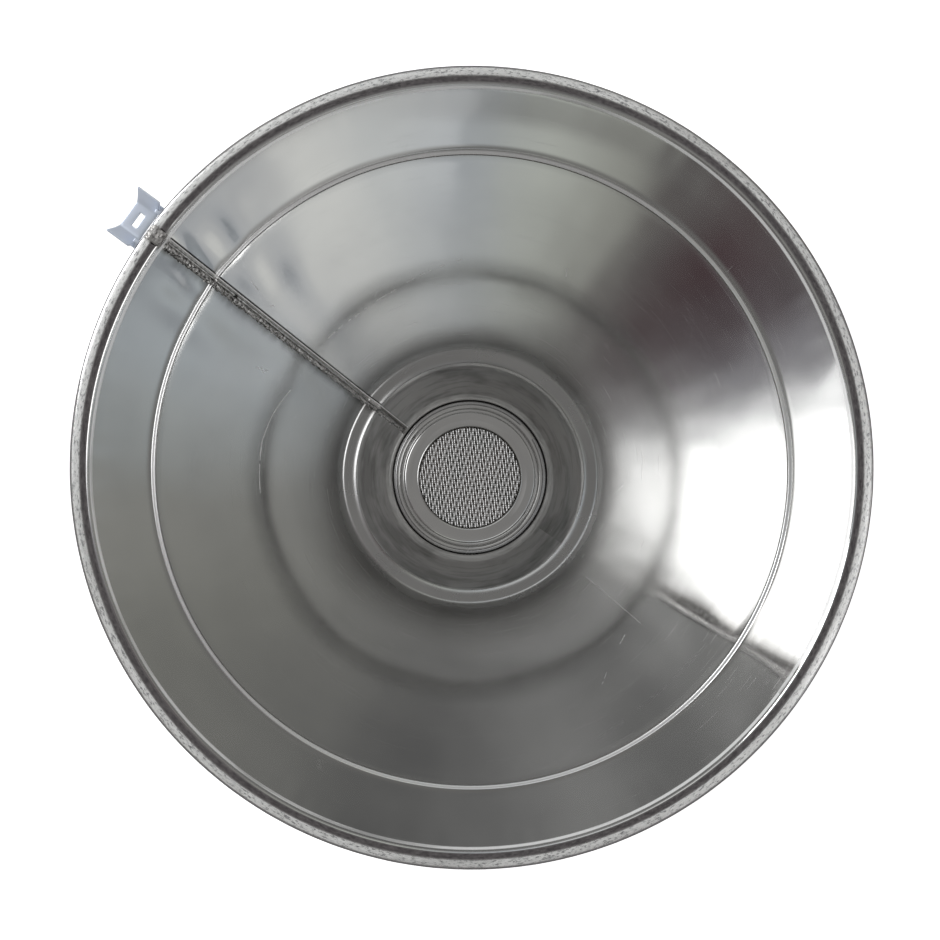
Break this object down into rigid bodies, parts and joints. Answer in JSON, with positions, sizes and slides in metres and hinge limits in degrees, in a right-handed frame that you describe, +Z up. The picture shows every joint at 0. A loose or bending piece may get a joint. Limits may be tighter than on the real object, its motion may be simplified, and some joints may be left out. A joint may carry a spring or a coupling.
{
  "type": "double sieve strainer",
  "caption": "Seamed sheet-steel funnel strainer with a wired rim, a neck seat holding two stacked sieves under a split spring ring, and a small slotted hanger bracket.",
  "frame": {"origin": "the middle of the base of the whole object's box, bracket included, level with the foot; the funnel's axis is 6.4 mm from it towards -X", "axes": "+Z up along the funnel's axis, +X towards the seam and the hanger bracket"},
  "size_m": [0.3128, 0.3, 0.196],
  "materials": {
    "polished_steel": "polished stainless sheet with fine scratches",
    "satin_steel": "satin stainless sheet",
    "woven_wire": "plain-woven stainless wire cloth",
    "weld_metal": "rough weld and solder metal",
    "spring_steel": "drawn spring wire"
  },
  "bodies": {
    "funnel": {"funnel_cone": "polished_steel", "rim_wire": "satin_steel", "neck_cone": "polished_steel", "sieve_seat": "polished_steel", "outlet_spigot": "satin_steel", "seam_strip_band": "polished_steel", "seam_strip_cone": "polished_steel", "seam_strip_neck": "polished_steel", "seam_weld_band": "weld_metal", "seam_weld_cone": "weld_metal", "seam_weld_neck": "weld_metal", "rim_solder": "weld_metal", "collar_solder": "weld_metal", "hanger_bracket": "polished_steel", "bracket_weld_left": "weld_metal", "bracket_weld_right": "weld_metal"},
    "fine_sieve": {"fine_sieve_frame": "satin_steel", "fine_sieve_mesh": "woven_wire", "fine_sieve_backing": "satin_steel"},
    "spacer": {"spacer_ring": "satin_steel"},
    "coarse_sieve": {"coarse_sieve_frame": "polished_steel", "coarse_sieve_mesh": "woven_wire", "coarse_sieve_backing": "satin_steel"},
    "spring": {"spring_ring": "spring_steel"}
  },
  "joints": [
    {"name": "fine_sieve_lift", "type": "slide", "parent": "funnel", "child": "fine_sieve", "axis": [0, 0, 1], "range_m": [0, 0.19]},
    {"name": "spacer_lift", "type": "slide", "parent": "fine_sieve", "child": "spacer", "axis": [0, 0, 1], "range_m": [0, 0.19]},
    {"name": "coarse_sieve_lift", "type": "slide", "parent": "spacer", "child": "coarse_sieve", "axis": [0, 0, 1], "range_m": [0, 0.19]},
    {"name": "spring_lift", "type": "slide", "parent": "coarse_sieve", "child": "spring", "axis": [0, 0, 1], "range_m": [0, 0.19]}
  ]
}
